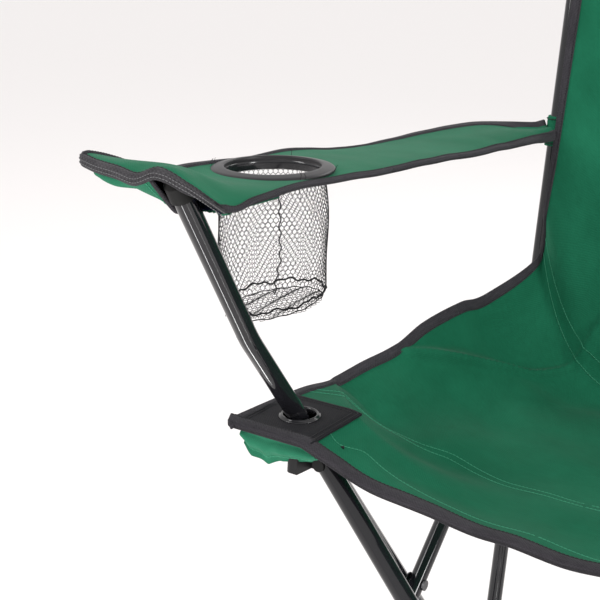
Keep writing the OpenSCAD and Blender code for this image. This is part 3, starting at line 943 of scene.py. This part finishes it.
# a fold of canvas that hangs below each front corner
FLAP_FALL = [(-40, 9), (-30, 17), (-16, 21), (-4, 23), (9, 30), (24, 25), (34, 14), (38, 8)]
for side, s in (("right", -1), ("left", 1)):
    xs = np.linspace(-40, 32, 53)
    ts = np.linspace(0, 1, 17)
    rows_down = []
    for x in xs:
        fall = between(FLAP_FALL, x)
        wave = math.sin(x * 0.16) * 1.5 + 0.8 * math.sin(x * 0.41 + 1)
        rows_down.append([])
        for t in ts:
            curl = 2.2 * math.sin(9 * t + x * 0.03) * smooth(0.1, 0.3, t)
            y = front_y + (4.5 + wave * t + 5 * t * t + curl) * MM
            z = patch_z - (2.4 + fall * t + smooth(20, 40, -x) * 3) * MM
            rows_down[-1].append((tube_x + x * MM, y, z))
    grid = side_of(rows_down, s)
    n = grid_normals(grid)
    n = n * -np.sign(n[20, 5, 1])
    piece = panel(
        "corner_flap_" + side, grid, n, grid_uv(grid), 1.2 * MM, LIT_FLAP_GREEN, "arm_tube_" + side,
    )
    line, out = grid[:, 12] + n[:, 12] * 0.6 * MM, n[:, 12]
    stitches("corner_flap_stitch_" + side, line, out, THREAD_GREEN, "arm_tube_" + side)


# ---------- armrest pockets round the tube tips
def arm_surface(x, y):
    """The armrest's height at x outside the tube and at y, in metres."""
    inner_x, inner_z, middle_z, outer_x, outer_z = along(ARM_STATIONS, (y - grommet[1]) / MM)
    b = np.clip(2 * (x / MM - inner_x) / (outer_x - inner_x) - 1, -1, 1)
    a = np.clip((y - arm_front_y(b)) / (ARM_REAR - arm_front_y(b)), 0, 1)
    return arm_point(b, a)[2]


POCKET_LOW = [(-22, -5), (-10, -7), (8, -6), (18, 3), (31, 11), (44, 13), (55, 15), (61, 17)]
POCKET_SIDE = 8


def beside_tube(p):
    """The pocket is open on the tube's inner side, in front of the tube."""
    tube_y = tip[1] + (tip[2] - p[2]) * math.tan(TOP_LEAN)
    return (abs(p[0]) - tube_x) / MM < POCKET_SIDE and p[1] < tube_y + 11 * MM


def front_of(x):
    """The armrest's front edge at x, in mm outside the tube."""
    return arm_front_y((x + 20) / 53 - 1)


for side, s in (("right", -1), ("left", 1)):
    body = "arm_" + side
    xs = np.linspace(-22, 61, 50)
    grid = []
    for x in xs:
        low = between(POCKET_LOW, x)
        f = front_of(x) + 1.5 * MM
        top = (arm_surface(x * MM, f) - ring_z - TIP_BAND) / MM + 1.5
        low = min(low, top - 3)
        rear = (arm_surface(x * MM, f + 66 * MM) - ring_z) / MM - 2.5
        wave = 0.9 * math.sin(x * 0.23)
        lean = 24 * (1 - smooth(8, 46, x)) * smooth(-24, -4, x)
        climb = 9 * (1 - smooth(-22, 4, x))
        keys = [
            (0.0, 0.5, top),
            (0.22, 1.0 + wave * 0.5 + 0.5 * lean, (top + low) / 2),
            (0.36, 3.5 + wave + 0.9 * lean, low + 1.5),
            (0.46, 9 + lean, low + wave * 0.4),
            (0.64, 26 + 0.6 * lean, low + 1.0 + climb),
            (1.0, 66, max(rear, low - 4)),
        ]
        grid.append([])
        for t in np.linspace(0, 1, 41):
            dy, z = along(keys, t)
            y = f + dy * MM
            z = min(ring_z + z * MM, arm_surface(x * MM, y) - 5 * MM)
            grid[-1].append((tube_x + x * MM, y, z))
    grid = side_of(grid, s)
    n = grid_normals(grid)
    n = n * -np.sign(n[30, 8, 1])
    piece = panel(
        "pocket_" + side, grid, n, grid_uv(grid), 1.1 * MM, LIT_FLAP_GREEN, body, beside_tube
    )
    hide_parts("arm_pocket_" + side)
    inside = grid - n * 1.3 * MM
    piece = panel(
        "pocket_lining_" + side, inside, n, grid_uv(grid), 0.8 * MM, NAVY, body, beside_tube
    )
    edge = int(np.searchsorted(xs, POCKET_SIDE))
    stitches(
        "pocket_stitch_" + side, grid[edge + 3, :24] + n[edge + 3, :24] * 0.6 * MM, n[edge + 3, :24],
        THREAD_GREEN, body,
    )
    across, rim = np.tile([s * 1.0, 0, 0], (24, 1)), tape_profile(2.6 * MM, 2.4 * MM, 1.2 * MM)
    sweep("pocket_edge_" + side, grid[edge, :24], across, n[edge, :24], rim, TAPE, body)
    grid = []
    for x in np.linspace(-23, 62, 40):
        ys = front_of(x) + np.linspace(2.5, 62, 24) * MM
        grid.append([(tube_x + x * MM, y, arm_surface(x * MM, y) - 3.2 * MM) for y in ys])
    grid = side_of(grid, s)
    n = grid_normals(grid)
    n = n * np.sign(n[20, 10, 2])
    piece = panel("arm_lining_" + side, grid, n, grid_uv(grid), 0.9 * MM, NAVY, body)

# ---------- cup holder: ring, clamp and net
RING_FLANGE = [
    (38.0, 3.6), (38.5, 4.2), (39.6, 4.4), (41.5, 4.1), (45.6, 3.4), (47.6, 2.9), (48.6, 2.2),
    (49.0, 1.2), (48.8, 0.5), (47.8, 0.2), (38.6, 0.2), (38.1, 0.6),
]
# the sleeve stops 5 mm above the lower end of the cup_ring solid's own sleeve
RING_SLEEVE = [
    (38.05, 3.4), (38.2, -2.0), (38.5, -6.2), (39.0, -7.0), (40.0, -7.0), (40.4, -6.4), (40.4, 0.3),
    (39.0, 0.6),
]
CLAMP_PROFILE = [
    (41.2, -3.0), (41.2, -5.2), (42.0, -5.8), (46.0, -5.8), (47.0, -5.2), (47.2, -4.2), (46.6, -3.3),
    (45.0, -3.0),
]
arm_body = "arm_right"
flange = lathe(
    "ring_flange", ring_at, round_profile(RING_FLANGE), SATIN_PLASTIC, arm_body, 144
)
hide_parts("cup_ring")
lathe("ring_sleeve", ring_at, round_profile(RING_SLEEVE), GLOSS_PLASTIC, arm_body, 144)
clamp = lathe(
    "ring_clamp", ring_at, round_profile(CLAMP_PROFILE), SATIN_PLASTIC, arm_body, 144
)
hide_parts("cup_ring_clamp")

NET_TOP = -5.0
NET_FALL = 111.0
NET_COLUMNS, NET_ROWS = 64, 30
STRING = 0.25 * MM
FACING = math.radians(-54.6)


def net_point(a, t):
    """The net's wall at angle a and share t of its fall."""
    lean = math.cos(a - FACING - math.pi / 2)
    bottom = NET_FALL - 7 - 7 * lean
    z = NET_TOP - bottom * t
    r = 41.5 + 2.2 * math.sin(math.pi * min(t * 1.05, 1)) - 3.0 * smooth(0.93, 1.0, t)
    r += 0.9 * math.sin(3 * a + 5 * t) * t + 0.5 * math.sin(7 * a - 9 * t)
    return ring_at + np.array([r * math.cos(a), r * math.sin(a), z]) * MM


edges = []
for k in range(NET_ROWS):
    for c in range(NET_COLUMNS):
        a = 2 * math.pi * (c + 0.5 * (k % 2)) / NET_COLUMNS
        step = math.pi / NET_COLUMNS
        low, high = k / NET_ROWS, (k + 0.45) / NET_ROWS
        here, knot = net_point(a, low), net_point(a, high)
        edges.append((here, knot))
        if k < NET_ROWS - 1:
            edges.append((knot, net_point(a - step, (k + 1) / NET_ROWS)))
            edges.append((knot, net_point(a + step, (k + 1) / NET_ROWS)))
wall = strings("net_wall", edges, STRING, NET_BLACK, arm_body, sides=3)
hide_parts("net_pouch")


def net_floor(x, y):
    reach = math.hypot(x, y)
    base = net_point(math.atan2(y, x), 1.0)
    dome = 1.2 * math.sin(x * 0.3) + 1.5 * (1 - (reach / 40) ** 2)
    low = ring_at[2] - (NET_FALL - 2) * MM
    z = base[2] * (reach / 40) + low * (1 - reach / 40) + dome * MM
    return np.array([ring_at[0] + x * MM, ring_at[1] + y * MM, z])


edges = []
hexa = 4.0
for i in range(-11, 12):
    for j in range(-13, 14):
        x, y = (i + 0.5 * (j % 2)) * hexa, j * hexa * 0.87
        up = (x, y + hexa * 0.4)
        for q in ((x, y), (x + hexa / 2, y + hexa * 0.87), (x - hexa / 2, y + hexa * 0.87)):
            if max(math.hypot(*up), math.hypot(*q)) < 39.5:
                edges.append((net_floor(*up), net_floor(*q)))
strings("net_floor", edges, STRING, NET_BLACK, arm_body, sides=3)


def cord_on_net(name, points, radius):
    return strings(name, list(zip(points, points[1:])), radius, NET_BLACK, arm_body, sides=5)


hem = []
for a in np.linspace(0, 2 * math.pi, 161):
    wave = 0.012 * math.sin(9 * a) + 0.008 * math.sin(23 * a)
    hem.append(net_point(a, 0.935 + wave))
hem = cord_on_net("net_gather", hem, 0.8 * MM)
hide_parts("net_hem")
cord_on_net(
    "net_rim", [net_point(a, 0.995 + 0.004 * math.sin(17 * a)) for a in np.linspace(0, 2 * math.pi, 161)],
    0.5 * MM,
)
seam_a = FACING + math.radians(8)
cord_on_net(
    "net_seam",
    [
        net_point(seam_a + 0.02 * math.sin(t * 60) - 0.09 * smooth(0.5, 0.75, t), t)
        for t in np.linspace(0.03, 0.80, 60)
    ],
    0.55 * MM,
)
loose = []
for k in range(14):
    a = FACING - 1.2 + 0.19 * k
    drop = 0.06 + 0.05 * math.sin(k * 2.3) ** 2
    end = net_point(a + 0.05 * math.sin(k * 1.7), drop)
    loose.append((net_point(a, 0.01), end + (0.001 * math.cos(a), 0.001 * math.sin(a), 0)))
for k, a in enumerate((-2.9, -2.75, -0.5, -0.42, 0.35, 1.9)):
    rim = ring_at + np.array([48.5 * math.cos(a), 48.5 * math.sin(a), 0.5]) * MM
    bend = rim + np.array([math.cos(a) * 2, math.sin(a) * 2, 3.0 + k % 3]) * MM
    loose += [(rim, bend), (bend, bend + np.array([2.0 * math.sin(k * 2), 1.5 * math.cos(k), 2.5]) * MM)]
strings("net_loose_threads", loose, 0.22 * MM, NET_BLACK, arm_body, 4)
NET_PIECES = ["net_wall", "net_floor", "net_gather", "net_rim", "net_seam", "net_loose_threads"]
for name in NET_PIECES:
    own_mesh(bpy.data.objects[name])


# ---------- sleeves on the posts, and the ties
def sleeve(name, z0, z1, radius, body, material, s):
    """Canvas sewn round a post, a little oval and creased."""
    path = [(s * post_x, post_y(z), z) for z in np.linspace(z0, z1, 25)]
    verts, faces, uv = [], [], []
    turns = 40
    for k, p in enumerate(path):
        for i in range(turns):
            a = 2 * math.pi * i / turns
            r = radius * (1 + 0.05 * math.sin(2 * a + k * 0.4) + 0.03 * math.sin(5 * a + k * 0.7))
            verts.append((p[0] + r * math.cos(a), p[1] + r * 0.95 * math.sin(a), p[2]))
            uv.append((r * a, p[2]))
    for k in range(len(path) - 1):
        for i in range(turns):
            j = (i + 1) % turns
            faces.append((k * turns + i, k * turns + j, (k + 1) * turns + j, (k + 1) * turns + i))
    top = len(path) - 1
    faces.append(tuple(range(turns))[::-1])
    faces.append(tuple(top * turns + i for i in range(turns)))
    made = make(name, verts, faces, material, body, uv=uv)
    for z in (z0 + 2.5 * MM, z1 - 2.5 * MM):
        ring = [
            (s * post_x + radius * 1.07 * math.cos(a), post_y(z) + radius * 1.02 * math.sin(a), z)
            for a in np.linspace(0, 2 * math.pi, 41)
        ]
        out = [(math.cos(a), math.sin(a), 0) for a in np.linspace(0, 2 * math.pi, 41)]
        stitches(name + "_stitch_%d" % round(z * 1000), ring, out, THREAD_BLACK, body)
    return made


for side, s in (("right", -1), ("left", 1)):
    body = "back_post_" + side
    piece = sleeve(
        "back_sleeve_" + side, TOP_Z - 66 * MM, post_high[2] + 2 * MM, 11.2 * MM, body,
        SEAT_GREEN, s,
    )
    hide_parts("back_pocket_" + side)
    sleeve("arm_loop_" + side, 0.606, 0.636, 10.6 * MM, body, ARM_GREEN, s)
    low, high = corners("seat_tie_" + side)
    edge = low[0] if side == "left" else high[0]
    outer = high[0] if side == "left" else low[0]
    back, front = high[1], low[1]
    line = [
        (edge, high[2] - 10 * MM), (edge, high[2] - 18 * MM), (edge, low[2] + 6 * MM),
        (edge + (outer - edge) * 0.2, low[2] + 1 * MM), (outer, low[2] + 1 * MM),
    ]
    steps = np.linspace(0, 1, 30)
    keys = [(k / 4, *q) for k, q in enumerate(line)]
    grid = np.array(
        [[(along(keys, t)[0], y, along(keys, t)[1]) for t in steps] for y in np.linspace(front, back, 9)]
    )
    n = grid_normals(grid)
    piece = panel("tie_" + side, grid, n, grid_uv(grid), 1.6 * MM, TAPE, "rear_slider_" + side)
    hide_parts("seat_tie_" + side)

# ---------- better finishes on the frame's own solids
for name in frame["nodes"]:
    solid = bpy.data.objects.get(name)
    if solid is None or solid.type != "MESH":
        continue
    finish = MATTE_NYLON
    if name.startswith("front_hub") and "rivet" in name:
        finish = CAP_BLACK
    elif "rivet" in name:
        finish = ZINC
    elif name.startswith(("arm_tube_cap", "post_cap")):
        finish = CAP_BLACK
    elif "_tube" in name or "strut" in name or name.startswith("back_post"):
        finish = GLOSS_TUBE
    for k in range(max(1, len(solid.material_slots))):
        if solid.material_slots:
            solid.material_slots[k].material = finish
        else:
            solid.data.materials.append(finish)
